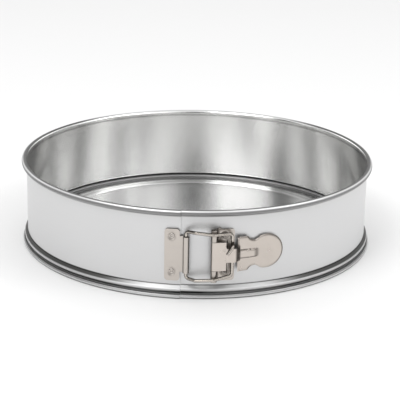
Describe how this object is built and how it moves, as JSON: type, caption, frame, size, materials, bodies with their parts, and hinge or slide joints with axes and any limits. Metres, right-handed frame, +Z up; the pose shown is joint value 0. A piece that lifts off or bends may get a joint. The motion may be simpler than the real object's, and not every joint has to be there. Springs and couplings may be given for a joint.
{
  "type": "springform pan",
  "caption": "Round springform cake pan: a loose base sits in the groove of a sprung band, which a riveted wire-and-lever clasp draws tight.",
  "frame": {"origin": "centre of the pan on the table it stands on, on the axis of the wall", "axes": "+Z up along the pan's axis; -Y towards the clasp at the front; +X to the lever's side"},
  "size_m": [0.2896, 0.296, 0.07],
  "materials": {
    "base": "bright tinplate",
    "band": "bright tinplate",
    "rim_wire": "plain steel wire",
    "clasp": "nickel-plated pressed steel",
    "rivets": "plated steel",
    "bail": "nickel-plated wire"
  },
  "bodies": {
    "band_right": {"band_right": "band", "base_plate": "base", "rim_wire_right": "rim_wire", "anchor_plate": "clasp", "anchor_rivet_upper": "rivets", "anchor_rivet_lower": "rivets", "hinge_pin": "rivets"},
    "band_left": {"band_left": "band", "rim_wire_left": "rim_wire", "catch_plate": "clasp", "catch_rivet_upper": "rivets", "catch_rivet_lower": "rivets"},
    "lever": {"lever": "clasp"},
    "wire_bail": {"wire_bail": "bail"}
  },
  "joints": [
    {"name": "lever_swing", "type": "hinge", "parent": "band_right", "child": "lever", "pos_m": [0.01354, -0.14597, 0.0354], "axis": [0, 0, -1], "range_deg": [0, 90]},
    {"name": "band_spring", "type": "hinge", "parent": "band_right", "child": "band_left", "pos_m": [0, 0.1446, 0.0354], "axis": [0, 0, -1], "range_deg": [0, 1.32]},
    {"name": "bail_swing", "type": "hinge", "parent": "band_left", "child": "wire_bail", "pos_m": [-0.00726, -0.14367, 0.0354], "axis": [0, 0, -1], "range_deg": [0, 28.35]}
  ],
  "couplings": [
    {"joint": "band_spring", "follows": "lever_swing", "ratio": 0.0147},
    {"joint": "bail_swing", "follows": "lever_swing", "ratio": 0.315}
  ]
}
